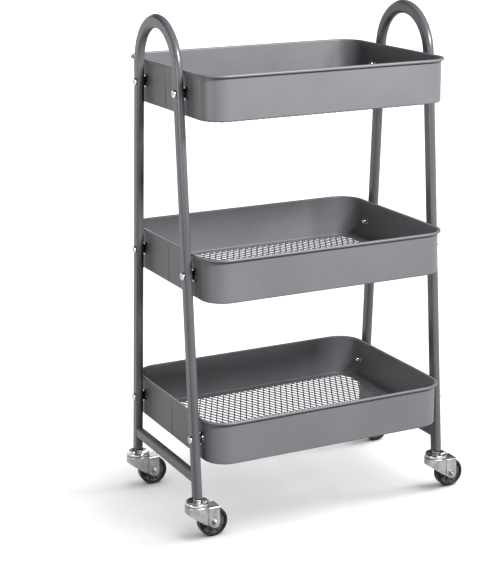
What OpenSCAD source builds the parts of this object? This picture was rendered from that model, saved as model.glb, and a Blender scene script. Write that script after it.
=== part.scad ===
// Three-tier rolling utility cart: two arched tube frames, three sheet-metal trays with
// expanded-mesh floors, and four swivel casters.
// +X runs along the trays, +Y to the back and +Z up. The origin is the middle of the frame at floor level.

/* [Trays] */
// Length of a tray over its rolled rim
tray_length = 446; // [400:1:500]
// Depth of a tray over its rolled rim
tray_depth = 335; // [310:1:370]
// Height of a tray, from the top of its rim to its underside
tray_height = 73; // [60:1:90]
// Corner radius of a tray, over its rim
corner_r = 44; // [36:1:56]
// Thickness of the tray's sheet
sheet_t = 1; // [0.8:0.1:1.4]
// Diameter of the wired rim
rim_d = 4.8; // [4:0.1:5.5]
// How far the rim stands out from the wall
rim_out = 4; // [3.4:0.1:4.2]
// Width of the flange round the mesh floor
flange_w = 15; // [12:1:20]
// Height of the bottom tray's rim above the floor
bottom_rim_z = 205; // [200:1:230]
// Height of the middle tray's rim above the floor
middle_rim_z = 474; // [440:1:500]
// Height of the top tray's rim above the floor
top_rim_z = 763; // [740:1:764]

/* [Mesh floor] */
// Width of one mesh diamond, along X
mesh_pitch_x = 11.6; // [9:0.1:20]
// Length of one mesh diamond, along Y
mesh_pitch_y = 23.2; // [18:0.1:40]
// Width of a mesh strand
strand_w = 2; // [1.5:0.1:2.6]
// Thickness of the mesh
mesh_t = 1.2; // [0.8:0.1:2]

/* [Frame] */
// Height of the frame over its arches
frame_height = 844; // [836:1:870]
// Long side of the flat-oval tube, in the plane of the frame
tube_w = 23; // [20:0.5:26]
// Short side of the flat-oval tube
tube_t = 13; // [12:0.5:15]
// Wall thickness of the tube
tube_wall = 1.2; // [1:0.1:1.6]
// Radius of the arch, to the middle of the tube
arch_r = 77; // [72:1:84]
// How far each leg leans out from upright, in degrees
splay = 4; // [3:0.25:5]
// Height of the lower end of the legs above the floor
leg_end_z = 69.5; // [69.5:0.5:80]
// Height of the cross bars above the floor, to their middle
bar_z = 102.5; // [98:0.5:110]

/* [Casters] */
// Diameter of a wheel
wheel_d = 50; // [46:0.5:50]
// Width of a wheel's tread
wheel_w = 18; // [14:0.5:20]
// Distance from the swivel axis back to the axle
trail = 26; // [24:0.5:28]
// Radius of the round head of the fork
head_r = 20.5; // [20:0.5:22]

/* [Hidden] */
$fn = 48;

// Colours
grey_coat = [0.40, 0.41, 0.43];
zinc = [0.76, 0.77, 0.78];
black_plastic = [0.07, 0.07, 0.08];

// Frame: the arch joins each leg where their directions agree, splay degrees above its centre.
frame_gap = 0.8;
frame_x = tray_length / 2 + frame_gap + tube_t / 2;
arch_z = frame_height - tube_w / 2 - arch_r;
arch_end_y = arch_r * cos(splay);
arch_end_z = arch_z + arch_r * sin(splay);
plug_lip = 2;
tube_end_z = leg_end_z + plug_lip;
leg_len = (arch_end_z - tube_end_z) / cos(splay) + 2;
bar_w = 22;
bar_t = 12;

// Trays
wall_length = tray_length - 2 * rim_out;
wall_depth = tray_depth - 2 * rim_out;
wall_r = corner_r - rim_out;
floor_inset = sheet_t + flange_w;
panel_edge = 5;
seam_w = 0.5;
seam_depth = 0.5;

// Fasteners: M6 screws through the tube at half the height of each tray
screw_r = 2.95;
screw_hole_r = 3.2;
screw_head_r = 6.4;
screw_head_h = 3.4;
spacer_r = 7.5;
washer_r = 10.5;
inner_washer_r = 6.2;
washer_t = 1.2;
nut_af = 10;
nut_h = 4.5;
dome_r = 4.3;
nut_wall = 1.2;
bolt_gap = 0.05;

// Caster heights above the floor
axle_z = wheel_d / 2;
fork_t = 1.6;
fork_half = 13.1;
fork_len = trail + 20;
channel_top_z = 53.4;
head_z = 58.3;
head_edge = 2;
bend_r = 2.5;
plate_t = 1.8;
skirt_z = 46;
tip_r = 8.5;
race_r = 19.4;
race_z = 59.1;
hub_z = 61;
crown_z = 64.3;
ball_ring_r = 13;
ball_r = 2;
ball_gap = 0.1;
ball_count = 12;
ball_z = head_z + ball_r - 0.8;
kingpin_r = 4;
run_gap = 0.06;
axle_r = 2.95;
bush_r = 4.2;
hub_r = 8;
hub_half = 11;
rib_count = 8;
web_half = 4.5;

// Distance of a leg's middle line from the XZ plane at height z
function leg_y(z) = arch_end_y + (arch_end_z - z) * tan(splay);

// Height of a tray's screws
function screw_z(rim_z) = rim_z - tray_height / 2;

// Points along an arc
function arc(cx, cy, r, a0, a1, n) =
    [for (i = [0:n]) let (a = a0 + (a1 - a0) * i / n) [cx + r * cos(a), cy + r * sin(a)]];

// Draws its children on both sides of the XZ plane
module front_and_back() {
    for (side = [0, 1]) mirror([0, side, 0]) children();
}

// Draws its children at both ends of the cart
module both_ends() {
    for (side = [0, 1]) mirror([side, 0, 0]) children();
}

// ---- Frame ----

module flat_oval(w, t) {
    square([t, w - t], center = true);
    for (s = [-1, 1]) translate([0, s * (w - t) / 2]) circle(d = t);
}

// A solid leg, grown outwards by extra, running past its lower end by run
module leg_bar(extra, run) {
    translate([0, arch_end_y, arch_end_z]) rotate([splay, 0, 0]) translate([0, 0, -leg_len - run])
        linear_extrude(leg_len + run) flat_oval(tube_w + 2 * extra, tube_t + 2 * extra);
}

module arch_bar(extra) {
    translate([0, 0, arch_z]) rotate([90, 0, 90]) rotate([0, 0, splay])
        rotate_extrude(angle = 180 - 2 * splay)
            translate([arch_r, 0]) rotate(90) flat_oval(tube_w + 2 * extra, tube_t + 2 * extra);
}

module screw_holes(h) {
    for (rim_z = [bottom_rim_z, middle_rim_z, top_rim_z])
        front_and_back() translate([0, leg_y(screw_z(rim_z)), screw_z(rim_z)])
            rotate([0, 90, 0]) cylinder(r = screw_hole_r, h = h, center = true);
}

module below_legs() {
    translate([-tube_t, -tray_depth, tube_end_z - 40]) cube([2 * tube_t, 2 * tray_depth, 40]);
}

// One length of tube bent into an upside-down U
module side_frame() {
    color(grey_coat) translate([frame_x, 0, 0]) difference() {
        union() {
            arch_bar(0);
            front_and_back() leg_bar(0, 0);
        }
        union() {
            arch_bar(-tube_wall);
            front_and_back() leg_bar(-tube_wall, 1);
        }
        below_legs();
        screw_holes(2 * tube_t);
    }
}

// Tube between the legs, with its ends shaped to sit against them
module cross_bar() {
    color(grey_coat) translate([frame_x, 0, 0]) difference() {
        translate([0, 0, bar_z]) rotate([90, 0, 0]) linear_extrude(2 * leg_y(bar_z), center = true)
            difference() {
                flat_oval(bar_w, bar_t);
                flat_oval(bar_w - 2 * tube_wall, bar_t - 2 * tube_wall);
            }
        front_and_back() leg_bar(0, 0);
    }
}

// Plastic plugs in the lower ends of the legs, which hold the caster stems
module leg_plugs() {
    plug_len = 22;
    fit = 0.1;
    color(black_plastic) both_ends() front_and_back() difference() {
        union() {
            translate([frame_x, leg_y(leg_end_z), leg_end_z]) linear_extrude(plug_lip)
                flat_oval(tube_w, tube_t);
            intersection() {
                translate([frame_x, 0, 0]) leg_bar(-tube_wall - fit, 1);
                translate([frame_x - tube_t, 0, tube_end_z]) cube([2 * tube_t, tray_depth, plug_len]);
            }
        }
        translate([frame_x, leg_y(leg_end_z), leg_end_z - 1])
            cylinder(r = kingpin_r + bolt_gap, h = plug_len + plug_lip + 10);
    }
}

// ---- Trays ----

module rounded_rect(l, d, r) {
    square([l - 2 * r, d], center = true);
    square([l, d - 2 * r], center = true);
    for (x = [-1, 1], y = [-1, 1]) translate([x * (l / 2 - r), y * (d / 2 - r)]) circle(r = r);
}

// Outline of the tray's wall, moved inwards by inset
module tray_outline(inset) {
    rounded_rect(wall_length - 2 * inset, wall_depth - 2 * inset, wall_r - inset);
}

// Round bead along the top of the wall
module rim() {
    half_l = (tray_length - rim_d) / 2;
    half_d = (tray_depth - rim_d) / 2;
    r = corner_r - rim_d / 2;
    translate([0, 0, -rim_d / 2]) {
        for (s = [-1, 1]) {
            translate([0, s * half_d, 0]) rotate([0, 90, 0])
                cylinder(d = rim_d, h = 2 * (half_l - r), center = true);
            translate([s * half_l, 0, 0]) rotate([90, 0, 0])
                cylinder(d = rim_d, h = 2 * (half_d - r), center = true);
        }
        both_ends() front_and_back() translate([half_l - r, half_d - r, 0])
            rotate_extrude(angle = 90) translate([r, 0]) circle(d = rim_d);
    }
}

// Sheet wall with a wired rim above and a flange below. The wall's seam is in its left end.
module tray(rim_z) {
    color(grey_coat) translate([0, 0, rim_z]) difference() {
        union() {
            translate([0, 0, -tray_height]) linear_extrude(tray_height - rim_d / 2) difference() {
                tray_outline(0);
                tray_outline(sheet_t);
            }
            translate([0, 0, -tray_height]) linear_extrude(sheet_t) difference() {
                tray_outline(sheet_t / 2);
                tray_outline(floor_inset);
            }
            rim();
        }
        translate([-wall_length / 2 - 1, -seam_w / 2, -tray_height - 1])
            cube([1 + seam_depth, seam_w, tray_height - rim_d]);
        both_ends() front_and_back()
            translate([wall_length / 2 - 3, leg_y(screw_z(rim_z)), -tray_height / 2])
                rotate([0, 90, 0]) cylinder(r = screw_hole_r, h = 6);
    }
}

// Expanded-metal floor, welded under the flange
module mesh_floor(rim_z) {
    half_x = mesh_pitch_x / 2;
    half_y = mesh_pitch_y / 2;
    side_distance = half_x * half_y / norm([half_x, half_y]);
    open = 1 - strand_w / 2 / side_distance;
    hole_x = half_x * open;
    hole_y = half_y * open;
    columns = ceil(wall_length / mesh_pitch_x) + 1;
    rows = ceil(wall_depth / mesh_pitch_y) + 1;
    color(grey_coat) translate([0, 0, rim_z - tray_height - mesh_t]) linear_extrude(mesh_t) difference() {
        tray_outline(panel_edge);
        for (i = [-columns:columns], j = [-rows:rows])
            if ((i + j) % 2 == 0 && abs(i * half_x) < wall_length / 2 && abs(j * half_y) < wall_depth / 2)
                translate([i * half_x, j * half_y])
                    polygon([[hole_x, 0], [0, hole_y], [-hole_x, 0], [0, -hole_y]]);
    }
}

// ---- Fasteners ----

// Draws its children at a tray's four screws. +X points out along the screw, from the wall's outer face.
module at_screws(rim_z) {
    both_ends() front_and_back()
        translate([wall_length / 2, leg_y(screw_z(rim_z)), screw_z(rim_z)]) children();
}

module along_x() {
    rotate([0, 90, 0]) children();
}

head_x = frame_x + tube_t / 2 - wall_length / 2;
tube_x = frame_x - tube_t / 2 - wall_length / 2;
nut_x = -sheet_t - washer_t;

// Pan-head screws with a cross recess
module screws(rim_z) {
    recess_w = 1.2;
    recess_l = 5.5;
    recess_h = 1.6;
    shank_x = nut_x - nut_h - 1;
    dome = 2;
    color(zinc) at_screws(rim_z) difference() {
        along_x() {
            translate([0, 0, head_x]) rotate_extrude() polygon(concat(
                [[0, 0], [screw_head_r - 0.3, 0]],
                arc(screw_head_r - dome, screw_head_h - dome, dome, 0, 75, 6),
                [[0, screw_head_h]]
            ));
            translate([0, 0, shank_x]) cylinder(r = screw_r, h = head_x - shank_x + 0.5);
        }
        translate([head_x + screw_head_h - recess_h / 2 + 0.01, 0, 0]) {
            cube([recess_h, recess_w, recess_l], center = true);
            cube([recess_h, recess_l, recess_w], center = true);
        }
    }
}

module ring(r_out, r_in, h) {
    difference() {
        cylinder(r = r_out, h = h);
        translate([0, 0, -1]) cylinder(r = r_in, h = h + 2);
    }
}

// Plastic spacers between the tube and the outer washers
module spacers(rim_z) {
    color(black_plastic) at_screws(rim_z) translate([washer_t, 0, 0]) along_x()
        ring(spacer_r, screw_r + bolt_gap, tube_x - washer_t);
}

// Large washers on the wall's outer face and small ones inside, under the nuts
module washers(rim_z) {
    color(zinc) at_screws(rim_z) {
        along_x() ring(washer_r, screw_r + bolt_gap, washer_t);
        translate([nut_x, 0, 0]) along_x() ring(inner_washer_r, screw_r + bolt_gap, washer_t);
    }
}

// Dome nuts inside the tray
module nuts(rim_z) {
    color(zinc) at_screws(rim_z) translate([nut_x, 0, 0]) rotate([0, -90, 0]) difference() {
        union() {
            cylinder(d = nut_af / cos(30), h = nut_h, $fn = 6);
            translate([0, 0, nut_h - 0.5]) intersection() {
                sphere(r = dome_r);
                cylinder(r = dome_r + 1, h = dome_r + 1);
            }
        }
        translate([0, 0, -1]) cylinder(r = screw_r + bolt_gap, h = nut_h + dome_r - nut_wall);
    }
}

// ---- Casters: each is drawn with its swivel axis on Z and its wheel trailing along +X ----

module at_caster(x_side, y_side) {
    translate([x_side * frame_x, y_side * leg_y(leg_end_z), 0]) children();
}

// Threaded stem, hexagon shoulder and kingpin, with its riveted end under the fork
module stem() {
    stem_top_z = leg_end_z + 24;
    shoulder_af = 12;
    rivet_r = 6.5;
    rivet_t = 2;
    rivet_z = head_z - plate_t - 0.2;
    color(zinc) {
        translate([0, 0, hub_z]) cylinder(d = shoulder_af / cos(30), h = leg_end_z - hub_z, $fn = 6);
        rotate_extrude() polygon([
            [0, rivet_z - rivet_t], [rivet_r - 1, rivet_z - rivet_t], [rivet_r, rivet_z - 0.6],
            [rivet_r, rivet_z], [kingpin_r, rivet_z], [kingpin_r, stem_top_z - 1],
            [kingpin_r - 1, stem_top_z], [0, stem_top_z]
        ]);
    }
}

// Dished cap over the balls, fixed to the stem, with a thin skirt round its edge
module race() {
    dish_r = 9;
    crown_edge = 2.2;
    skirt_t = 1.4;
    skirt_h = 1.2;
    color(zinc) rotate_extrude() difference() {
        polygon(concat(
            [[kingpin_r + bolt_gap, hub_z - plate_t], [kingpin_r + bolt_gap, hub_z], [dish_r, hub_z]],
            arc(ball_ring_r, crown_z - 3.2, 2, 150, 90, 4),
            arc(race_r - crown_edge, crown_z - crown_edge, crown_edge, 115, 0, 10),
            [[race_r, race_z], [race_r - skirt_t, race_z], [race_r - skirt_t, race_z + skirt_h],
             [dish_r, race_z + skirt_h], [dish_r - 1, hub_z - plate_t]]
        ));
        translate([ball_ring_r, ball_z]) circle(r = ball_r + ball_gap);
    }
}

module balls() {
    color(zinc) for (i = [0:ball_count - 1]) rotate([0, 0, 360 * i / ball_count])
        translate([ball_ring_r, 0, ball_z]) sphere(r = ball_r);
}

// Side of the fork, seen along Y: flat above, sloping in front and round at the axle
module fork_side() {
    join_x = 14.8;
    polygon(concat(
        [[join_x, channel_top_z], [trail + tip_r, channel_top_z]],
        arc(trail, axle_z, tip_r, 0, -130, 10),
        [[join_x, 22.7]]
    ));
}

// Outline of the channel, seen along X, moved inwards by inset
module channel_outline(inset) {
    half = fork_half - inset;
    top = channel_top_z - inset;
    r = bend_r - inset;
    translate([-half, 0]) square([2 * half, top - r]);
    translate([r - half, 0]) square([2 * (half - r), top]);
    for (s = [-1, 1]) translate([s * (half - r), top - r]) circle(r = r);
}

// Channel over the wheel, with bent upper edges
module channel() {
    intersection() {
        rotate([90, 0, 0]) linear_extrude(3 * fork_half, center = true) fork_side();
        rotate([90, 0, 90]) linear_extrude(fork_len) difference() {
            channel_outline(0);
            channel_outline(fork_t);
        }
    }
}

// Round head with a rounded edge, and the skirt below it, which is cut off on a slope
module head() {
    slope = atan2(24, 36);
    skirt_end_z = 10;
    difference() {
        rotate_extrude() polygon(concat(
            [[kingpin_r + run_gap, head_z - plate_t], [kingpin_r + run_gap, head_z]],
            arc(head_r - head_edge, head_z - head_edge, head_edge, 90, 0, 6),
            [[head_r, skirt_end_z], [head_r - fork_t, skirt_end_z], [head_r - fork_t, head_z - plate_t]]
        ));
        translate([-head_r, -40, skirt_z]) rotate([0, slope, 0]) translate([-40, 0, -80]) cube([160, 80, 80]);
        translate([0, fork_t - fork_half, 0]) cube([40, 2 * (fork_half - fork_t), channel_top_z - fork_t]);
    }
}

// Pressed fork with its lower ball groove and axle holes
module fork() {
    color(zinc) difference() {
        union() {
            head();
            channel();
        }
        rotate_extrude() translate([ball_ring_r, ball_z]) circle(r = ball_r + ball_gap);
        translate([trail, 0, axle_z]) rotate([90, 0, 0])
            cylinder(r = axle_r + bolt_gap, h = 2 * fork_half + 2, center = true);
    }
}

// Axle bolt, with its head at the back
module axle() {
    bolt_head_h = 4;
    bolt_end = 6.5;
    color(zinc) translate([trail, 0, axle_z]) rotate([-90, 0, 0]) {
        translate([0, 0, fork_half]) cylinder(d = nut_af / cos(30), h = bolt_head_h, $fn = 6);
        translate([0, 0, -fork_half - bolt_end]) cylinder(r = axle_r, h = 2 * fork_half + bolt_end + 0.5);
    }
}

// Lock nut with a round flange against the fork and a collar in front
module axle_nut() {
    hex_h = 3.6;
    flange_r = 6.3;
    flange_h = 1.2;
    collar_r = 4.6;
    collar_h = 5.2;
    color(zinc) translate([trail, -fork_half, axle_z]) rotate([90, 0, 0]) difference() {
        union() {
            cylinder(d = nut_af / cos(30), h = hex_h, $fn = 6);
            cylinder(r = flange_r, h = flange_h);
            cylinder(r = collar_r, h = collar_h);
        }
        translate([0, 0, -1]) cylinder(r = axle_r + bolt_gap, h = collar_h + 2);
    }
}

// Sleeve between the fork's sides, which the wheel turns on
module bush() {
    length = 2 * (fork_half - fork_t) - 0.1;
    color(zinc) translate([trail, -length / 2, axle_z]) rotate([-90, 0, 0])
        ring(bush_r, axle_r + bolt_gap, length);
}

// Moulded wheel: hub, thin web with ribs on both sides, and a tread with rounded edges
module wheel() {
    tread_in = wheel_d / 2 - 5;
    edge = 1.8;
    rib_t = 1.6;
    rib_inset = 2;
    half = wheel_w / 2;
    color(black_plastic) translate([trail, 0, axle_z]) rotate([90, 0, 0]) difference() {
        union() {
            cylinder(r = hub_r, h = 2 * hub_half, center = true);
            cylinder(r = tread_in + 1, h = 2 * web_half, center = true);
            rotate_extrude() polygon(concat(
                [[tread_in, -half + 0.8], [tread_in + 0.8, -half]],
                arc(wheel_d / 2 - edge, -half + edge, edge, -90, 0, 6),
                arc(wheel_d / 2 - edge, half - edge, edge, 0, 90, 6),
                [[tread_in + 0.8, half], [tread_in, half - 0.8]]
            ));
            for (i = [0:rib_count - 1]) rotate([0, 0, 360 * (i + 0.5) / rib_count])
                translate([hub_r - 1, -rib_t / 2, rib_inset - half])
                    cube([tread_in - hub_r + 2, rib_t, wheel_w - 2 * rib_inset]);
        }
        cylinder(r = bush_r + run_gap, h = 2 * hub_half + 2, center = true);
    }
}

// ---- Nodes ----

mirror([1, 0, 0]) side_frame();  // left_frame
side_frame();  // right_frame
mirror([1, 0, 0]) cross_bar();  // left_cross_bar
cross_bar();  // right_cross_bar
leg_plugs();

tray(top_rim_z);  // top_tray
tray(middle_rim_z);  // middle_tray
tray(bottom_rim_z);  // bottom_tray
mesh_floor(top_rim_z);  // top_mesh
mesh_floor(middle_rim_z);  // middle_mesh
mesh_floor(bottom_rim_z);  // bottom_mesh

screws(top_rim_z);  // top_screws
screws(middle_rim_z);  // middle_screws
screws(bottom_rim_z);  // bottom_screws
spacers(top_rim_z);  // top_spacers
spacers(middle_rim_z);  // middle_spacers
spacers(bottom_rim_z);  // bottom_spacers
washers(top_rim_z);  // top_washers
washers(middle_rim_z);  // middle_washers
washers(bottom_rim_z);  // bottom_washers
nuts(top_rim_z);  // top_nuts
nuts(middle_rim_z);  // middle_nuts
nuts(bottom_rim_z);  // bottom_nuts

at_caster(-1, -1) stem();  // front_left_stem
at_caster(-1, -1) race();  // front_left_race
at_caster(-1, -1) balls();  // front_left_balls
at_caster(-1, -1) fork();  // front_left_fork
at_caster(-1, -1) axle();  // front_left_axle
at_caster(-1, -1) axle_nut();  // front_left_axle_nut
at_caster(-1, -1) bush();  // front_left_bush
at_caster(-1, -1) wheel();  // front_left_wheel

at_caster(1, -1) stem();  // front_right_stem
at_caster(1, -1) race();  // front_right_race
at_caster(1, -1) balls();  // front_right_balls
at_caster(1, -1) fork();  // front_right_fork
at_caster(1, -1) axle();  // front_right_axle
at_caster(1, -1) axle_nut();  // front_right_axle_nut
at_caster(1, -1) bush();  // front_right_bush
at_caster(1, -1) wheel();  // front_right_wheel

at_caster(-1, 1) stem();  // rear_left_stem
at_caster(-1, 1) race();  // rear_left_race
at_caster(-1, 1) balls();  // rear_left_balls
at_caster(-1, 1) fork();  // rear_left_fork
at_caster(-1, 1) axle();  // rear_left_axle
at_caster(-1, 1) axle_nut();  // rear_left_axle_nut
at_caster(-1, 1) bush();  // rear_left_bush
at_caster(-1, 1) wheel();  // rear_left_wheel

at_caster(1, 1) stem();  // rear_right_stem
at_caster(1, 1) race();  // rear_right_race
at_caster(1, 1) balls();  // rear_right_balls
at_caster(1, 1) fork();  // rear_right_fork
at_caster(1, 1) axle();  // rear_right_axle
at_caster(1, 1) axle_nut();  // rear_right_axle_nut
at_caster(1, 1) bush();  // rear_right_bush
at_caster(1, 1) wheel();  // rear_right_wheel
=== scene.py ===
"""Rolling utility cart: three mesh-floored trays between two arched tube frames, on four swivel casters."""

import logging
import math
from dataclasses import dataclass, field
from enum import Enum
from typing import Iterable, Sequence

import bmesh
import bpy
from mathutils import Matrix, Vector


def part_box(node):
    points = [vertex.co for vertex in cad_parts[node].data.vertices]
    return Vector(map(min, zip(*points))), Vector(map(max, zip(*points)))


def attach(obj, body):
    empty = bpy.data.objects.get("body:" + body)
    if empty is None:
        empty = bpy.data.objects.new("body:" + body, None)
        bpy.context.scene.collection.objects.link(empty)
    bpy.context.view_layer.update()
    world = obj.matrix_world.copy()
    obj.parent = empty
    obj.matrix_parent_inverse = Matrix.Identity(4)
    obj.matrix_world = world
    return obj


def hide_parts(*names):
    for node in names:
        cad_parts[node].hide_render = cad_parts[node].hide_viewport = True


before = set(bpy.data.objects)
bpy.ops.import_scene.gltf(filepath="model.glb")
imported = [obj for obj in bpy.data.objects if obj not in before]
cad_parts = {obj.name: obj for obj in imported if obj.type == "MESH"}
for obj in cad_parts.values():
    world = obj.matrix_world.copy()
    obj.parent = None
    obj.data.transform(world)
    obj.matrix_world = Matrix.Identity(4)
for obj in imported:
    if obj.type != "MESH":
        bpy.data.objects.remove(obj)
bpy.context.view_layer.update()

LOG = logging.getLogger("cart")
MM = 0.001
CART_BODY = "cart"

# Angles in degrees above which an edge stays sharp.
SHEET_SHARP = 28.0
WHEEL_SHARP = 30.0
NODE_SHARP = 32.0
TUBE_SHARP = 40.0
STRAND_SHARP = 40.0

Point = tuple[float, float]
Ring = list[Vector]
Faces = list[tuple[int, ...]]


class Tier(Enum):
    """The three trays, from the floor up."""

    BOTTOM = "bottom"
    MIDDLE = "middle"
    TOP = "top"


class Corner(Enum):
    """The four corners where a caster stands."""

    FRONT_LEFT = "front_left"
    FRONT_RIGHT = "front_right"
    REAR_LEFT = "rear_left"
    REAR_RIGHT = "rear_right"


class End(Enum):
    """The two ends of the cart."""

    LEFT = "left"
    RIGHT = "right"


class Slot(Enum):
    """The material slots of the part's record."""

    COAT = "grey_coat"
    ZINC = "zinc_plate"
    PLASTIC = "black_plastic"


# ---- Mesh building ----


@dataclass
class MeshMaker:
    """Gathers points and faces of one piece, in metres, and makes the object.

    Attributes:
        points: every point of the piece so far.
        faces: every face, as indices into points.
    """

    points: list[Vector] = field(default_factory=list)
    faces: Faces = field(default_factory=list)

    def add_rings(self, rings: Sequence[Ring], closed: bool) -> None:
        """Skins a row of rings, each with the same number of points. An open row gets a face over each end.

        Args:
            rings: the rings, in order along the shape.
            closed: whether the last ring joins the first.
        """
        base = len(self.points)
        size = len(rings[0])
        for ring in rings:
            self.points.extend(ring)
        spans = len(rings) if closed else len(rings) - 1
        for i in range(spans):
            here = base + i * size
            there = base + (i + 1) % len(rings) * size
            for j in range(size):
                k = (j + 1) % size
                self.faces.append((here + j, here + k, there + k, there + j))
        if not closed:
            last = base + (len(rings) - 1) * size
            self.faces.append(tuple(base + j for j in reversed(range(size))))
            self.faces.append(tuple(last + j for j in range(size)))

    def add_lathe(self, profile: Sequence[Point], steps: int, place: Matrix) -> None:
        """Turns a closed profile about a line.

        Args:
            profile: (radius, distance along the line) of each point, never on the line itself.
            steps: how many flat sides make a full turn.
            place: carries local Z to the line.
        """
        rings = []
        for i in range(steps):
            angle = math.tau * i / steps
            rings.append([place @ Vector((r * math.cos(angle), r * math.sin(angle), z)) for r, z in profile])
        self.add_rings(rings, closed=True)

    def make(self, name: str, material: bpy.types.Material, sharp: float) -> bpy.types.Object:
        """Makes the object, smooth except over edges sharper than a limit.

        Args:
            name: name of the piece.
            material: its finish.
            sharp: angle in degrees above which an edge stays sharp.

        Returns:
            The new object, at the origin.
        """
        mesh = bpy.data.meshes.new(name)
        mesh.from_pydata([tuple(p) for p in self.points], [], self.faces)
        mesh.validate()
        mesh.materials.append(material)
        piece = bpy.data.objects.new(name, mesh)
        bpy.context.scene.collection.objects.link(piece)
        face_outwards(mesh)
        soften(piece, sharp)
        return piece


def face_outwards(mesh: bpy.types.Mesh) -> None:
    """Turns every closed shell of a mesh so that its faces look outwards."""
    work = bmesh.new()
    work.from_mesh(mesh)
    bmesh.ops.recalc_face_normals(work, faces=work.faces)
    work.to_mesh(mesh)
    work.free()


def soften(piece: bpy.types.Object, sharp: float) -> None:
    """Shades a piece smooth, keeps edges above the angle sharp, and lets large faces stay flat."""
    flat_share = 80
    piece.data.shade_smooth()
    piece.data.set_sharp_from_angle(angle=math.radians(sharp))
    weighted = piece.modifiers.new("flat_faces", "WEIGHTED_NORMAL")
    weighted.keep_sharp = True
    weighted.weight = flat_share


def arc(centre: Point, radius: float, start: float, end: float, steps: int) -> list[Point]:
    """Points along an arc.

    Args:
        centre: middle of the arc.
        radius: its radius.
        start: first angle in degrees.
        end: last angle in degrees.
        steps: how many straight pieces make the arc.

    Returns:
        The points, both ends included.
    """
    angles = (math.radians(start + (end - start) * i / steps) for i in range(steps + 1))
    return [(centre[0] + radius * math.cos(a), centre[1] + radius * math.sin(a)) for a in angles]


# ---- Finishes ----


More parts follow.
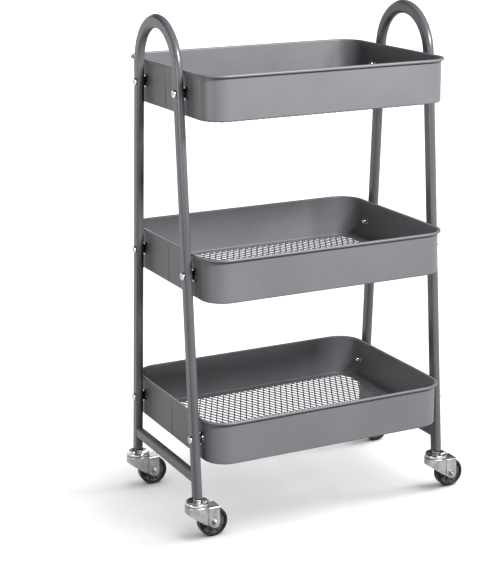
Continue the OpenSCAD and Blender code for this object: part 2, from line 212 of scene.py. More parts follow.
class Groups:
    """Shader effects that more than one finish uses. Each is built once and placed with its own values."""

    PATCH_TOP = 0.68
    PATCH_FLOOR = 0.2
    PATCH_RISE = 0.3
    COARSE_SHARE = 0.16
    RUB_SPAN = (0.62, 0.74)
    RUB_TURN = (0.4, 0.9, 0.3)
    RUB_STRETCH = (1.0, 14.0, 2.0)

    _made: dict[str, bpy.types.NodeTree] = {}

    @classmethod
    def _start(cls, name: str, inputs: dict[str, float], outputs: Sequence[str]) -> bpy.types.NodeTree:
        """Starts a node group.

        Args:
            name: name of the group.
            inputs: the group's input values and their defaults.
            outputs: the names of its output values.

        Returns:
            The group, with its input and output nodes named "in" and "out".
        """
        tree = bpy.data.node_groups.new(name, "ShaderNodeTree")
        for label, default in inputs.items():
            socket = tree.interface.new_socket(label, in_out="INPUT", socket_type="NodeSocketFloat")
            socket.default_value = default
        for label in outputs:
            tree.interface.new_socket(label, in_out="OUTPUT", socket_type="NodeSocketFloat")
        tree.nodes.new("NodeGroupInput").name = "in"
        tree.nodes.new("NodeGroupOutput").name = "out"
        return tree

    @classmethod
    def _noise(cls, tree: bpy.types.NodeTree, place: bpy.types.NodeSocket, detail: float) -> bpy.types.Node:
        """Adds a noise texture to a group, on the given coordinates."""
        noise = tree.nodes.new("ShaderNodeTexNoise")
        noise.inputs["Detail"].default_value = detail
        tree.links.new(place, noise.inputs["Vector"])
        return noise

    @classmethod
    def cloud(cls) -> bpy.types.NodeTree:
        """Soft uneven patches: the mask runs from 0 to 1."""
        if "cloud" not in cls._made:
            tree = cls._start("uneven_patches", {"Scale": 12.0, "Contrast": 0.5}, ["Mask"])
            coords = tree.nodes.new("ShaderNodeTexCoord")
            noise = cls._noise(tree, coords.outputs["Object"], 5.0)
            tree.links.new(tree.nodes["in"].outputs["Scale"], noise.inputs["Scale"])
            low = tree.nodes.new("ShaderNodeMath")
            low.operation = "MULTIPLY_ADD"
            low.inputs[1].default_value = cls.PATCH_RISE
            low.inputs[2].default_value = cls.PATCH_FLOOR
            tree.links.new(tree.nodes["in"].outputs["Contrast"], low.inputs[0])
            spread = tree.nodes.new("ShaderNodeMapRange")
            spread.inputs["From Max"].default_value = cls.PATCH_TOP
            tree.links.new(noise.outputs["Fac"], spread.inputs["Value"])
            tree.links.new(low.outputs[0], spread.inputs["From Min"])
            tree.links.new(spread.outputs["Result"], tree.nodes["out"].inputs["Mask"])
            cls._made["cloud"] = tree
        return cls._made["cloud"]

    @classmethod
    def grain(cls) -> bpy.types.NodeTree:
        """Fine surface relief: rounded bumps with a little coarser waviness under them."""
        if "grain" not in cls._made:
            tree = cls._start("surface_grain", {"Scale": 900.0, "Waviness": 0.4}, ["Height"])
            coords = tree.nodes.new("ShaderNodeTexCoord")
            fine = cls._noise(tree, coords.outputs["Object"], 2.0)
            tree.links.new(tree.nodes["in"].outputs["Scale"], fine.inputs["Scale"])
            slower = tree.nodes.new("ShaderNodeMath")
            slower.operation = "MULTIPLY"
            slower.inputs[1].default_value = cls.COARSE_SHARE
            tree.links.new(tree.nodes["in"].outputs["Scale"], slower.inputs[0])
            coarse = cls._noise(tree, coords.outputs["Object"], 1.0)
            tree.links.new(slower.outputs[0], coarse.inputs["Scale"])
            both = tree.nodes.new("ShaderNodeMath")
            both.operation = "MULTIPLY_ADD"
            tree.links.new(coarse.outputs["Fac"], both.inputs[0])
            tree.links.new(tree.nodes["in"].outputs["Waviness"], both.inputs[1])
            tree.links.new(fine.outputs["Fac"], both.inputs[2])
            tree.links.new(both.outputs[0], tree.nodes["out"].inputs["Height"])
            cls._made["grain"] = tree
        return cls._made["grain"]

    @classmethod
    def scuffs(cls) -> bpy.types.NodeTree:
        """Sparse fine rub marks, as the mask of where they are."""
        if "scuffs" not in cls._made:
            tree = cls._start("rub_marks", {"Scale": 40.0, "Amount": 0.3}, ["Mask"])
            coords = tree.nodes.new("ShaderNodeTexCoord")
            stretch = tree.nodes.new("ShaderNodeMapping")
            stretch.inputs["Rotation"].default_value = cls.RUB_TURN
            stretch.inputs["Scale"].default_value = cls.RUB_STRETCH
            tree.links.new(coords.outputs["Object"], stretch.inputs["Vector"])
            noise = cls._noise(tree, stretch.outputs["Vector"], 6.0)
            tree.links.new(tree.nodes["in"].outputs["Scale"], noise.inputs["Scale"])
            cut = tree.nodes.new("ShaderNodeMapRange")
            cut.inputs["From Min"].default_value, cut.inputs["From Max"].default_value = cls.RUB_SPAN
            tree.links.new(noise.outputs["Fac"], cut.inputs["Value"])
            share = tree.nodes.new("ShaderNodeMath")
            share.operation = "MULTIPLY"
            tree.links.new(cut.outputs["Result"], share.inputs[0])
            tree.links.new(tree.nodes["in"].outputs["Amount"], share.inputs[1])
            tree.links.new(share.outputs[0], tree.nodes["out"].inputs["Mask"])
            cls._made["scuffs"] = tree
        return cls._made["scuffs"]


@dataclass(frozen=True)
class Finish:
    """A finish made of two close tones, an uneven gloss and a fine relief.

    Attributes:
        name: name of the material.
        slot: the record's slot that it belongs to.
        dark: the darker tone, linear.
        light: the lighter tone, linear.
        patch_scale: how many patches of tone fit in a metre.
        gloss: lowest and highest roughness.
        grain_scale: how many grains of relief fit in a metre.
        waviness: share of the coarser relief.
        relief: height of the relief in metres.
        metallic: 1 for bare metal, 0 for a coat or plastic.
        rubs: strength of the rub marks.
        shine: strength of the mirror-like share of a coat or plastic.
        patch_contrast: how far the patches stand apart.
        rub_scale: how many rub marks fit in a metre.
    """

    name: str
    slot: Slot
    dark: tuple[float, float, float]
    light: tuple[float, float, float]
    patch_scale: float
    gloss: tuple[float, float]
    grain_scale: float
    waviness: float
    relief: float
    metallic: float = 0.0
    rubs: float = 0.3
    shine: float = 0.5
    patch_contrast: float = 0.5
    rub_scale: float = 40.0

    def material(self) -> bpy.types.Material:
        """Builds the material, once.

        Returns:
            The material, which later calls find by its name.
        """
        known = bpy.data.materials.get(self.name)
        if known is not None:
            return known
        material = bpy.data.materials.new(self.name)
        material.use_nodes = True
        tree = material.node_tree
        shader = tree.nodes["Principled BSDF"]
        shader.inputs["Metallic"].default_value = self.metallic
        shader.inputs["Specular IOR Level"].default_value = self.shine

        spots = {"Scale": self.patch_scale, "Contrast": self.patch_contrast}
        patches = self._place(tree, Groups.cloud(), spots)
        rubs = self._place(tree, Groups.scuffs(), {"Scale": self.rub_scale, "Amount": self.rubs})
        tone = tree.nodes.new("ShaderNodeMix")
        tone.data_type = "RGBA"
        tone.inputs["A"].default_value = (*self.dark, 1.0)
        tone.inputs["B"].default_value = (*self.light, 1.0)
        tree.links.new(patches.outputs["Mask"], tone.inputs["Factor"])
        tree.links.new(tone.outputs["Result"], shader.inputs["Base Color"])

        rougher = tree.nodes.new("ShaderNodeMapRange")
        rougher.inputs["To Min"].default_value = self.gloss[0]
        rougher.inputs["To Max"].default_value = self.gloss[1]
        blend = tree.nodes.new("ShaderNodeMath")
        blend.operation = "ADD"
        blend.use_clamp = True
        tree.links.new(patches.outputs["Mask"], blend.inputs[0])
        tree.links.new(rubs.outputs["Mask"], blend.inputs[1])
        tree.links.new(blend.outputs[0], rougher.inputs["Value"])
        tree.links.new(rougher.outputs["Result"], shader.inputs["Roughness"])

        grain = self._place(tree, Groups.grain(), {"Scale": self.grain_scale, "Waviness": self.waviness})
        bump = tree.nodes.new("ShaderNodeBump")
        bump.inputs["Strength"].default_value = 1.0
        bump.inputs["Distance"].default_value = self.relief
        tree.links.new(grain.outputs["Height"], bump.inputs["Height"])
        tree.links.new(bump.outputs["Normal"], shader.inputs["Normal"])
        return material

    @staticmethod
    def _place(tree: bpy.types.NodeTree, group: bpy.types.NodeTree,
               values: dict[str, float]) -> bpy.types.Node:
        """Puts a group in a material and sets its values."""
        node = tree.nodes.new("ShaderNodeGroup")
        node.node_tree = group
        for label, value in values.items():
            node.inputs[label].default_value = value
        return node


TRAY_COAT = Finish("powder_coat_grey", Slot.COAT, (0.063, 0.0645, 0.069), (0.071, 0.0725, 0.078), 9.0,
                   (0.41, 0.48), 1400.0, 0.5, 0.00003, rubs=0.25, shine=0.3)
# Darker copy of the same grey powder coat, used on the tubes and cross bars: its lower tone is painted
# shade, standing in for the darker look that the light gives the tubes.
SHADED_TUBE_COAT = Finish("powder_coat_tube_painted_shade", Slot.COAT, (0.043, 0.045, 0.049), (0.050, 0.052, 0.057), 9.0,
                   (0.25, 0.31), 1400.0, 0.5, 0.00003, rubs=0.25, shine=0.3)
ZINC = Finish("zinc_plate_bright", Slot.ZINC, (0.25, 0.255, 0.26), (0.37, 0.375, 0.38), 110.0,
              (0.32, 0.48), 2200.0, 0.6, 0.00003, metallic=1.0, rubs=0.6)
ZINC_BRIGHT = Finish("zinc_plate_polished", Slot.ZINC, (0.38, 0.385, 0.39), (0.54, 0.54, 0.545), 140.0,
                     (0.20, 0.32), 2000.0, 0.4, 0.00002, metallic=1.0, rubs=0.4)
BLACK_PLASTIC = Finish("black_plastic_moulded", Slot.PLASTIC, (0.010, 0.010, 0.011), (0.017, 0.017, 0.018),
                       60.0, (0.14, 0.24), 1800.0, 0.3, 0.00003, rubs=0.5, shine=0.12)
# Lighter, rougher copy of the same black plastic for the wheel's web and hub: its higher tone is painted
# light, so that the web reads paler than the tread ring.
LIGHTER_HUB_PLASTIC = Finish("black_plastic_hub_painted_light", Slot.PLASTIC, (0.024, 0.024, 0.026), (0.036, 0.036, 0.038), 60.0,
                     (0.30, 0.42), 1800.0, 0.3, 0.00003, rubs=0.5, shine=0.5)


def settle(piece: bpy.types.Object, body: str, nodes: Iterable[str]) -> None:
    """Fixes a finished piece to its body and hides the plain nodes that it takes the place of.

    Args:
        piece: the piece, in its place.
        body: the body that it moves with.
        nodes: the plain nodes that it takes the place of.
    """
    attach(piece, body)
    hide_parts(*nodes)
    LOG.info("%s rides on %s, %d faces", piece.name, body, len(piece.data.polygons))


def dress(node: str, finish: Finish, edge: float) -> None:
    """Gives a carried-over node its finish and breaks its sharp edges.

    Args:
        node: name of the node.
        finish: the finish it gets.
        edge: width of the broken edges, in metres. Zero leaves them alone.
    """
    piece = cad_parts[node]
    piece.data.materials.clear()
    piece.data.materials.append(finish.material())
    if edge > 0:
        bevel = piece.modifiers.new("broken_edges", "BEVEL")
        bevel.width = edge
        bevel.segments = 2
        bevel.limit_method = "ANGLE"
        bevel.angle_limit = math.radians(NODE_SHARP)
        bevel.harden_normals = False
    LOG.info("%s dressed in %s", node, finish.name)


# ---- Trays ----


@dataclass(frozen=True)
class RoundedRectangle:
    """Outline of a tray seen from above.

    Attributes:
        half_x: half its length.
        half_y: half its depth.
        radius: radius of its corners.
    """

    half_x: float
    half_y: float
    radius: float

    def grown(self, by: float) -> "RoundedRectangle":
        """The same outline moved outwards."""
        return RoundedRectangle(self.half_x + by, self.half_y + by, self.radius + by)

    def half_depth_at(self, x: float) -> float:
        """Half the depth of the outline at a place along its length."""
        past = abs(x) - (self.half_x - self.radius)
        if past <= 0:
            return self.half_y
        return self.half_y - self.radius + math.sqrt(max(0.0, self.radius**2 - past**2))

    def stations(self, corner_steps: int, left_marks: Sequence[float]) -> list[tuple[Vector, Vector]]:
        """Points round the outline with the way out at each.

        Args:
            corner_steps: how many straight pieces make a corner.
            left_marks: extra places along Y on the left end, from the back to the front.

        Returns:
            (point, outward direction) of each station, counterclockwise from the right end's front.
        """
        found = []
        for quarter in range(4):
            sign_x = 1 if quarter in (0, 3) else -1
            sign_y = 1 if quarter in (0, 1) else -1
            centre = Vector((sign_x * (self.half_x - self.radius), sign_y * (self.half_y - self.radius), 0))
            for step in range(corner_steps + 1):
                angle = math.radians(90 * (quarter + step / corner_steps))
                out = Vector((math.cos(angle), math.sin(angle), 0))
                found.append((centre + out * self.radius, out))
            if quarter == 1:
                found.extend((Vector((-self.half_x, y, 0)), Vector((-1, 0, 0))) for y in left_marks)
        return found


@dataclass
class Tray:
    """A tray bent from one sheet: flange, rounded bottom edge, wall and a rolled rim.

    Attributes:
        tier: which tray it is.
        rim_out: how far the rim stands out from the wall.
        rim_radius: radius of the rolled rim.
        corner: corner radius over the rim.
        sheet: thickness of the sheet.
        flange: width of the flange round the floor.
        bend: outer radius of the bend between wall and flange.
        seam_half: half the width of the seam.
        seam_depth: depth of the seam.
        lip: small chamfer along the flange and above the bend.
        curl_start: where the roll of the rim starts, in degrees.
        tuck_start: where the sheet's edge starts inside the roll, in degrees.
    """

    tier: Tier
    rim_out: float = 5.0 * MM
    rim_radius: float = 2.5 * MM
    corner: float = 44.0 * MM
    sheet: float = 1.0 * MM
    flange: float = 15.0 * MM
    bend: float = 2.6 * MM
    seam_half: float = 0.9 * MM
    seam_depth: float = 0.92 * MM
    lip: float = 0.2 * MM
    curl_start: float = 250.0
    tuck_start: float = 222.0

    def __post_init__(self) -> None:
        """Takes the tray's place and size from its node."""
        low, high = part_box(f"{self.tier.value}_tray")
        self.underside = low.z
        self.height = high.z - low.z
        self.wall = RoundedRectangle(high.x, high.y, self.corner).grown(-self.rim_out)

    def profile(self) -> list[tuple[float, float, bool]]:
        """Section of the sheet.

        Returns:
            (distance out from the wall, height above the underside, whether the point is on the wall's outer
            face, where the seam runs) of each point.
        """
        radius, lip = self.rim_radius, self.lip
        centre = (self.rim_out - radius, self.height - radius)
        bend_centre = (-self.bend, self.bend)
        edge = -self.sheet - self.flange
        start: list[Point] = [(edge, lip), (edge + lip, 0)] + arc(bend_centre, self.bend, -90, 0, 6)
        roll = arc(centre, radius - self.sheet, self.tuck_start, self.curl_start, 3)
        roll += arc(centre, radius, self.curl_start, 540, 24)
        end = arc(bend_centre, self.bend - self.sheet, 0, -90, 5)
        end += [(edge + lip, self.sheet), (edge, self.sheet - lip)]
        section = [(u, z, False) for u, z in start]
        section += [(0, self.bend + lip, True), (0, centre[1] - 0.5 * radius, True)]
        section += [(u, z, False) for u, z in roll + end]
        return section

    def build(self) -> None:
        """Makes the tray's shell."""
        half, foot = self.seam_half, 0.9 * self.seam_half
        corner_steps = 20
        marks = [3 * half, half, foot, -foot, -half, -3 * half]
        maker = MeshMaker()
        rings = []
        for point, out in self.wall.stations(corner_steps, marks):
            in_seam = out.x < -0.999 and abs(point.y) < (half + foot) / 2
            ring = []
            for u, z, on_wall in self.profile():
                sunk = self.seam_depth if in_seam and on_wall else 0.0
                ring.append(point + out * (u - sunk) + Vector((0, 0, self.underside + z)))
            rings.append(ring)
        maker.add_rings(rings, closed=True)
        piece = maker.make(f"{self.tier.value}_tray_shell", TRAY_COAT.material(), SHEET_SHARP)
        settle(piece, CART_BODY, [f"{self.tier.value}_tray"])


@dataclass
class MeshFloor:
    """Expanded-metal floor: zigzag strands that touch their neighbours by turns, each one tilted.

    Attributes:
        tier: which tray it belongs to.
        pitch_x: width of a diamond.
        pitch_y: length of a diamond.
        width: width of a strand.
        thickness: thickness of a strand.
        tilt: how far the strands lean, in degrees.
        bond: half the length over which two strands touch.
        inset: how far the strands' ends stay inside the panel's edge, so that none shows below the tray.
        corner: corner radius of the panel.
        chamfer: share of the thickness that each of the strand's edges loses.
        overlap: share of the width by which joined strands run into each other.
    """

    tier: Tier
    pitch_x: float = 11.6 * MM
    pitch_y: float = 23.2 * MM
    width: float = 2.25 * MM
    thickness: float = 1.0 * MM
    tilt: float = 45.0
    bond: float = 1.3 * MM
    inset: float = 6.0 * MM
    corner: float = 35.0 * MM
    chamfer: float = 0.25
    overlap: float = 0.42

    def __post_init__(self) -> None:
        """Takes the panel's place and size from its node."""
        low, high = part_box(f"{self.tier.value}_mesh")
        self.top = high.z
        self.outline = RoundedRectangle(high.x, high.y, self.corner).grown(-self.inset)

    def section(self) -> list[Vector]:
        """Corners of a strand's section, across Y."""
        lean = math.radians(self.tilt)
        across = Vector((math.cos(lean), 0, math.sin(lean)))
        through = Vector((-math.sin(lean), 0, math.cos(lean)))
        w, t = self.width / 2, self.thickness / 2
        c = self.chamfer * self.thickness
        corners = [(w, -t + c), (w, t - c), (w - c, t), (-w + c, t),
                   (-w, t - c), (-w, -t + c), (-w + c, -t), (w - c, -t)]
        return [across * a + through * b for a, b in corners]

    @staticmethod
    def crossing(start: Point, stop: Point, y: float) -> Point:
        """The point at a given Y on the line between two points."""
        return start[0] + (stop[0] - start[0]) * (y - start[1]) / (stop[1] - start[1]), y

    def strand(self, index: int) -> list[Ring]:
        """Rings along one strand, cut off at the panel's edge."""
        section = self.section()
        half_height = max(p.z for p in section)
        middle = index * self.pitch_x / 2
        end = self.outline.half_depth_at(middle)
        swing = self.pitch_x / 4 - self.overlap * self.width
        count = math.ceil(end / (self.pitch_y / 2)) + 1
        route: list[Point] = []
        for j in range(-count, count + 1):
            side = 1 if (index + j) % 2 == 0 else -1
            y = j * self.pitch_y / 2
            route += [(middle + side * swing, y - self.bond), (middle + side * swing, y + self.bond)]
        kept = [(x, y) for x, y in route if abs(y) < end]
        before = max((p for p in route if p[1] <= -end), key=lambda p: p[1])
        after = min((p for p in route if p[1] >= end), key=lambda p: p[1])
        kept = [self.crossing(before, kept[0], -end)] + kept + [self.crossing(kept[-1], after, end)]
        height = self.top - half_height
        return [[Vector((x, y, height)) + p for p in section] for x, y in kept]

    def build(self) -> None:
        """Makes the panel."""
        maker = MeshMaker()
        reach = int((self.outline.half_x - self.width) / (self.pitch_x / 2))
        for index in range(-reach, reach + 1):
            maker.add_rings(self.strand(index), closed=False)
        piece = maker.make(f"{self.tier.value}_mesh_panel", TRAY_COAT.material(), STRAND_SHARP)
        settle(piece, CART_BODY, [f"{self.tier.value}_mesh"])


# ---- Frames ----


@dataclass
class SideFrame:
    """A flat-oval tube bent into an upside-down U with splayed legs.

    Attributes:
        end: which end of the cart it stands at.
        tube_width: the tube's long side, in the plane of the frame.
        arch_radius: radius of the arch to the tube's middle.
        splay: how far the legs lean from upright, in degrees.
        bend_steps: how many straight pieces make each rounded side of the tube.
        arch_steps: how many straight pieces make the arch.
        leg_shares: where the leg's own rings lie, as shares of its length from the arch.
    """

    end: End
    tube_width: float = 23.0 * MM
    arch_radius: float = 77.0 * MM
    splay: float = 4.0
    bend_steps: int = 14
    arch_steps: int = 56
    leg_shares: tuple[float, ...] = (0.02, 0.34, 0.67)

    def __post_init__(self) -> None:
        """Takes the frame's place and size from its node."""
        low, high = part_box(f"{self.end.value}_frame")
        self.middle_x = (low.x + high.x) / 2
        self.thickness = high.x - low.x
        self.foot_z = low.z
        self.arch_z = high.z - self.tube_width / 2 - self.arch_radius

    def section(self) -> list[Point]:
        """Flat-oval outline: distance out from the frame's middle line, and distance along X."""
        radius = self.thickness / 2
        flat = self.tube_width / 2 - radius
        outer = arc((flat, 0), radius, -90, 90, self.bend_steps)
        return outer + arc((-flat, 0), radius, 90, 270, self.bend_steps)

    def ring(self, y: float, z: float, out: Vector) -> Ring:
        """Section of the tube at a point of its middle line."""
        middle = Vector((self.middle_x, y, z))
        return [middle + out * a + Vector((b, 0, 0)) for a, b in self.section()]

    def leg(self, side: int, upwards: bool) -> list[Ring]:
        """Rings down one leg, the lowest one cut level.

        Args:
            side: 1 for the back leg, -1 for the front one.
            upwards: whether the rings run from the foot up.

        Returns:
            The rings of the leg, without the one where the arch starts.
        """
        lean = math.radians(self.splay)
        out = Vector((0, side * math.cos(lean), math.sin(lean)))
        down = Vector((0, side * math.sin(lean), -math.cos(lean)))
        top = Vector((self.middle_x, side * self.arch_radius * math.cos(lean),
                      self.arch_z + self.arch_radius * math.sin(lean)))
        length = (top.z - self.foot_z) / math.cos(lean)
        rings = []
        for share in self.leg_shares:
            middle = top + down * (share * length)
            rings.append([middle + out * a + Vector((b, 0, 0)) for a, b in self.section()])
        foot = [top + out * a + Vector((b, 0, 0)) for a, b in self.section()]
        rings.append([p + down * ((p.z - self.foot_z) / math.cos(lean)) for p in foot])
        return rings[::-1] if upwards else rings

    def build(self) -> None:
        """Makes the frame."""
        steps = self.arch_steps
        rings = self.leg(-1, upwards=True)
        for i in range(steps + 1):
            angle = math.radians(180 - self.splay - (180 - 2 * self.splay) * i / steps)
            out = Vector((0, math.cos(angle), math.sin(angle)))
            rings.append(self.ring(out.y * self.arch_radius, self.arch_z + out.z * self.arch_radius, out))
        rings += self.leg(1, upwards=False)
        maker = MeshMaker()
        maker.add_rings(rings, closed=False)
        piece = maker.make(f"{self.end.value}_tube_frame", SHADED_TUBE_COAT.material(), TUBE_SHARP)
        settle(piece, CART_BODY, [f"{self.end.value}_frame"])


# ---- Casters ----


@dataclass
class Caster:
    """A swivel caster: fork, races and wheel.

    Attributes:
        corner: which corner it stands at.
        tread_half: half the width of the tread.
        edge: radius of the tread's edges.
        web_half: half the thickness of the web.
        hub_radius: radius of the hub.
        bore: radius of the hub's bore.
        hub_half: half the length of the hub.
        ring: thickness of the tread's ring.
        ribs: how many ribs each side of the web has.
        rib_root: half a rib's thickness at the web.
        rib_tip: half a rib's thickness at its edge.
    """

    corner: Corner
    tread_half: float = 9.0 * MM
    edge: float = 3.4 * MM
    web_half: float = 5.0 * MM
    hub_radius: float = 8.0 * MM
    bore: float = 4.26 * MM
    hub_half: float = 11.0 * MM
    ring: float = 4.8 * MM
    ribs: int = 8
    rib_root: float = 0.9 * MM
    rib_tip: float = 0.55 * MM

    def build(self) -> None:
        """Makes the wheel and dresses the metal pieces."""
        name = self.corner.value
        dress(f"{name}_fork", ZINC, edge=0.3 * MM)
        dress(f"{name}_race", ZINC_BRIGHT, edge=0.2 * MM)
        for part in ("stem", "axle", "axle_nut", "bush"):
            dress(f"{name}_{part}", ZINC, edge=0.25 * MM)
        dress(f"{name}_balls", ZINC_BRIGHT, edge=0.0)
        self.build_wheel()

    def wheel_profile(self, radius: float) -> list[Point]:
        """Section of the wheel: radius and distance along the axle."""
        half, edge = self.tread_half, self.edge
        hub, hub_half = self.hub_radius, self.hub_half
        inner = radius - self.ring
        web = self.web_half
        soft, fillet = 0.5 * MM, 1.2 * MM
        side: list[Point] = [(self.bore + soft, hub_half), (hub - soft, hub_half), (hub, hub_half - soft)]
        side += arc((hub + fillet, web + fillet), fillet, 180, 270, 4)
        side += arc((inner - fillet, web + fillet), fillet, -90, 0, 4)
        side += [(inner, half - soft), (inner + soft, half)]
        side += arc((radius - edge, half - edge), edge, 90, 0, 6)
        other = [(r, -y) for r, y in reversed(side)]
        return [(self.bore, hub_half - soft)] + side + other + [(self.bore, -hub_half + soft)]

    def build_wheel(self) -> None:
        """Makes the moulded wheel with its ribs."""
        name = self.corner.value
        low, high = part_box(f"{name}_wheel")
        centre = (low + high) / 2
        radius = (high.z - low.z) / 2
        place = Matrix.Translation(centre) @ Matrix.Rotation(math.radians(-90), 4, "X")
        maker = MeshMaker()
        turn_steps = 72
        maker.add_lathe(self.wheel_profile(radius), turn_steps, place)
        for i in range(self.ribs):
            angle = math.tau * (i + 0.5) / self.ribs
            self.add_rib(maker, place @ Matrix.Rotation(angle, 4, "Z"), radius)
        piece = maker.make(f"{name}_rolling_wheel", BLACK_PLASTIC.material(), WHEEL_SHARP)
        # The web and hub inside the tread ring take the lighter copy of the plastic: painted light on one
        # moulded piece.
        piece.data.materials.append(LIGHTER_HUB_PLASTIC.material())
        lighter_copy_radius = radius - self.ring - 0.1 * MM
        for face in piece.data.polygons:
            if (piece.matrix_world @ face.center - centre).length < lighter_copy_radius:
                face.material_index = 1
        settle(piece, f"{name}_wheel", [f"{name}_wheel"])

    def add_rib(self, maker: MeshMaker, place: Matrix, radius: float) -> None:
        """Adds one rib, on both sides of the web, with a draft towards its edge."""
        start, stop = self.hub_radius - 1.0 * MM, radius - 4.0 * MM
        root, tip = self.rib_root, self.rib_tip
        foot = self.web_half - 1.0 * MM
        height = self.tread_half - 1.6 * MM
        shoulder, flat = height - 0.3 * MM, tip - 0.2 * MM
        outline = [(-root, foot), (root, foot), (tip, shoulder),
                   (flat, height), (-flat, height), (-tip, shoulder)]
        for side in (1, -1):
            rings = [[place @ Vector((along, y, side * z)) for y, z in outline] for along in (start, stop)]
            maker.add_rings(rings, closed=False)


# ---- Fasteners and small parts ----


@dataclass
class SmallParts:
    """Screws, spacers, washers, nuts, plugs and bars that keep the shape of their nodes."""

    def build(self) -> None:
        """Dresses every small part."""
        for end in End:
            dress(f"{end.value}_cross_bar", SHADED_TUBE_COAT, edge=0.2 * MM)
        dress("leg_plugs", BLACK_PLASTIC, edge=0.3 * MM)
        for tier in Tier:
            dress(f"{tier.value}_screws", ZINC_BRIGHT, edge=0.2 * MM)
            dress(f"{tier.value}_nuts", ZINC_BRIGHT, edge=0.2 * MM)
            dress(f"{tier.value}_washers", ZINC_BRIGHT, edge=0.15 * MM)
            dress(f"{tier.value}_spacers", BLACK_PLASTIC, edge=0.3 * MM)


# ---- Studio ----


@dataclass(frozen=True)
class SoftBox:
    """A soft rectangular light on the cart.

    Attributes:
        name: name of the light.
        place: where it hangs, in metres.
        aim: height of the point that it faces on the cart's middle line.
        size: its width and height.
        power: its power in watts.
        shown: whether the light itself can be seen.
    """

    name: str
    place: tuple[float, float, float]
    aim: float
    size: tuple[float, float]
    power: float
    shown: bool = True


@dataclass(frozen=True)
class FloorLight:
    """A wide distant light on the floor alone.

    Attributes:
        name: name of the light.
        direction: the way its light travels.
        spread: how wide it looks from the floor, in degrees.
        power: its power in watts per square metre.
    """

    name: str
    direction: tuple[float, float, float]
    spread: float
    power: float


SOFT_BOXES = (SoftBox("front_box", (0.5, -2.1, 2.05), 0.6, (0.9, 0.5), 300.0),
              SoftBox("left_box", (-2.6, -0.6, 0.7), 0.5, (1.0, 0.8), 40.0),
              SoftBox("back_box", (-2.0, 1.6, 0.8), 0.5, (1.0, 0.8), 14.0),
              SoftBox("rear_box", (0.3, 3.0, 1.0), 0.4, (2.4, 1.2), 34.0, shown=False))
FLOOR_LIGHTS = (FloorLight("floor_wash", (-0.36, 0.20, -1.0), 50.0, 1.9),
                FloorLight("floor_dome", (-0.10, 0.05, -1.0), 150.0, 2.5),
                FloorLight("floor_rake", (-1.00, 0.12, -0.5), 16.0, 1.3))


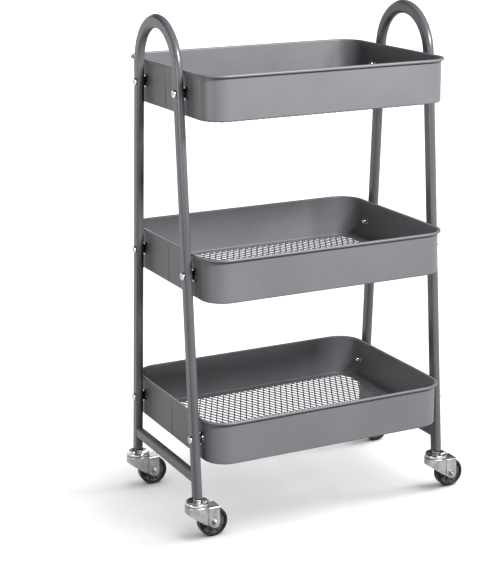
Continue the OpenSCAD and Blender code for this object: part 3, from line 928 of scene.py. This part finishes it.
@dataclass
class Studio:
    """Pale floor, soft lights and the camera.

    Attributes:
        camera_place: where the camera stands, in metres.
        azimuth: direction of view round the cart, in degrees.
        elevation: how far the camera looks down, in degrees.
        roll: how far the camera leans, in degrees.
        focal: focal length in millimetres on a 36 mm sensor.
        shift_y: upward shift of the picture.
        floor_tone: how pale the floor is.
        floor_bounce: how much of its light the floor throws back onto the cart.
        floor_half: half the width of the floor.
        room_tone: colour of the room's glow.
        room_glow: strength of the room's glow.
    """

    camera_place: tuple[float, float, float] = (-1.2207, -2.3186, 1.0923)
    azimuth: float = 26.24
    elevation: float = 13.64
    roll: float = -0.48
    focal: float = 100.3
    shift_y: float = -0.0854
    floor_tone: tuple[float, float, float] = (0.92, 0.92, 0.925)
    floor_bounce: tuple[float, float, float] = (0.22, 0.22, 0.222)
    floor_half: float = 30.0
    room_tone: tuple[float, float, float] = (0.97, 0.98, 1.0)
    room_glow: float = 0.09

    def build(self) -> None:
        """Sets up the whole studio."""
        self.build_lights(self.build_floor())
        self.build_camera()

    def build_floor(self) -> bpy.types.Object:
        """Lays a wide pale floor, which throws less soft light back onto the cart than it shows.

        Returns:
            The floor.
        """
        half = self.floor_half
        mesh = bpy.data.meshes.new("studio_floor")
        corners = [(-half, -half, 0), (half, -half, 0), (half, half, 0), (-half, half, 0)]
        mesh.from_pydata(corners, [], [(0, 1, 2, 3)])
        floor = bpy.data.objects.new("studio_floor", mesh)
        bpy.context.scene.collection.objects.link(floor)
        material = bpy.data.materials.new("pale_floor")
        material.use_nodes = True
        shader = material.node_tree.nodes["Principled BSDF"]
        seen = material.node_tree.nodes.new("ShaderNodeLightPath")
        tone = material.node_tree.nodes.new("ShaderNodeMix")
        tone.data_type = "RGBA"
        tone.inputs["A"].default_value = (*self.floor_tone, 1.0)
        tone.inputs["B"].default_value = (*self.floor_bounce, 1.0)
        material.node_tree.links.new(seen.outputs["Is Diffuse Ray"], tone.inputs["Factor"])
        material.node_tree.links.new(tone.outputs["Result"], shader.inputs["Base Color"])
        shader.inputs["Roughness"].default_value = 0.7
        shader.inputs["Specular IOR Level"].default_value = 0.2
        mesh.materials.append(material)
        return floor

    @staticmethod
    def hang(data: bpy.types.Light, direction: Vector, lit: bpy.types.Collection) -> bpy.types.Object:
        """Adds a light to the scene.

        Args:
            data: the light.
            direction: the way it shines.
            lit: what it shines on.

        Returns:
            The new object, at the origin.
        """
        light = bpy.data.objects.new(data.name, data)
        light.rotation_mode = "QUATERNION"
        light.rotation_quaternion = direction.to_track_quat("-Z", "Y")
        light.light_linking.receiver_collection = lit
        bpy.context.scene.collection.objects.link(light)
        return light

    def build_lights(self, floor: bpy.types.Object) -> None:
        """Hangs the lights and sets the glow of the room. The boxes are flagged off the floor, which has
        lights of its own.

        Args:
            floor: the floor.
        """
        all_but_floor = bpy.data.collections.new("light_flag")
        all_but_floor.objects.link(floor)
        all_but_floor.collection_objects[0].light_linking.link_state = "EXCLUDE"
        for box in SOFT_BOXES:
            data = bpy.data.lights.new(box.name, "AREA")
            data.shape = "RECTANGLE"
            data.size, data.size_y = box.size
            data.energy = box.power
            place = Vector(box.place)
            light = self.hang(data, Vector((0, 0, box.aim)) - place, all_but_floor)
            light.location = place
            light.visible_camera = box.shown
        floor_only = bpy.data.collections.new("floor_only")
        floor_only.objects.link(floor)
        for wash in FLOOR_LIGHTS:
            data = bpy.data.lights.new(wash.name, "SUN")
            data.energy = wash.power
            data.angle = math.radians(wash.spread)
            self.hang(data, Vector(wash.direction), floor_only)
        world = bpy.data.worlds.new("studio_room")
        world.use_nodes = True
        glow = world.node_tree.nodes["Background"]
        glow.inputs["Color"].default_value = (*self.room_tone, 1.0)
        glow.inputs["Strength"].default_value = self.room_glow
        bpy.context.scene.world = world

    def build_camera(self) -> None:
        """Places the camera."""
        data = bpy.data.cameras.new("studio_camera")
        data.lens = self.focal
        data.sensor_width = 36.0
        data.shift_y = self.shift_y
        data.clip_start, data.clip_end = 0.05, 100.0
        camera = bpy.data.objects.new("studio_camera", data)
        turn, down, lean = (math.radians(v) for v in (self.azimuth, self.elevation, self.roll))
        forward = Vector((math.sin(turn) * math.cos(down), math.cos(turn) * math.cos(down), -math.sin(down)))
        level = Vector((math.cos(turn), -math.sin(turn), 0))
        upright = level.cross(forward)
        right = level * math.cos(lean) + upright * math.sin(lean)
        up = upright * math.cos(lean) - level * math.sin(lean)
        camera.matrix_world = Matrix.Translation(self.camera_place) @ Matrix(
            (right, up, -forward)).transposed().to_4x4()
        bpy.context.scene.collection.objects.link(camera)
        bpy.context.scene.camera = camera
        bpy.context.scene.view_settings.view_transform = "Standard"


def main() -> None:
    """Builds the cart and the studio."""
    logging.basicConfig(level=logging.INFO, format="%(name)s: %(message)s")
    Studio().build()
    for tier in Tier:
        Tray(tier).build()
        MeshFloor(tier).build()
    for end in End:
        SideFrame(end).build()
    for corner in Corner:
        Caster(corner).build()
    SmallParts().build()


if __name__ == "__main__":
    main()
